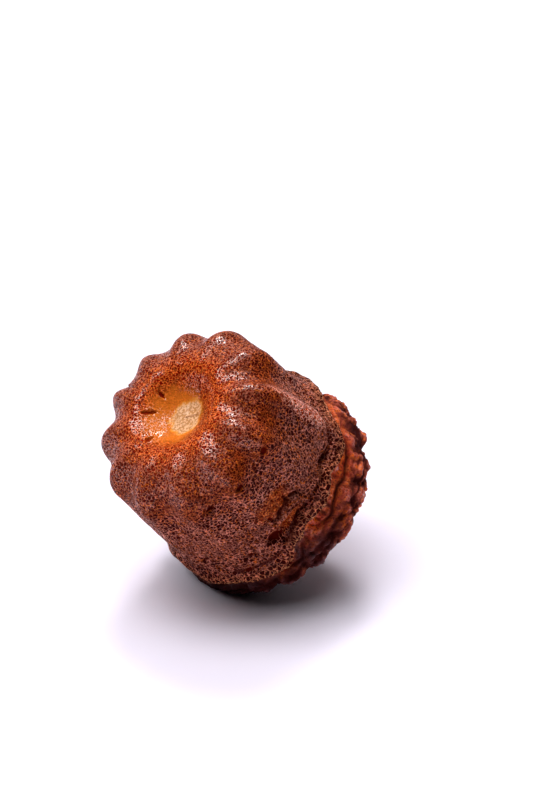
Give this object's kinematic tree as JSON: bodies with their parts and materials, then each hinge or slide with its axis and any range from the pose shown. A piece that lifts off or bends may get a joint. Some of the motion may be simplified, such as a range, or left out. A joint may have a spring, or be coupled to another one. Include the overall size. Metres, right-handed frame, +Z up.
{
  "type": "canele",
  "caption": "Small fluted cake with a dark caramelised crust, a pale dimple in its small end and a rough puffed head, lying tilted on that head.",
  "frame": {"origin": "middle of the flat spot that the cake rests on", "axes": "+Z up from the surface it lies on; its small end points up, towards -X and -Y, with its axis 42.6 degrees off upright"},
  "size_m": [0.0626, 0.0609, 0.0629],
  "materials": {
    "crust": "browned sugar crust with fine pores and a soft gloss"
  },
  "bodies": {
    "root": {"canele": "crust"}
  },
  "joints": []
}
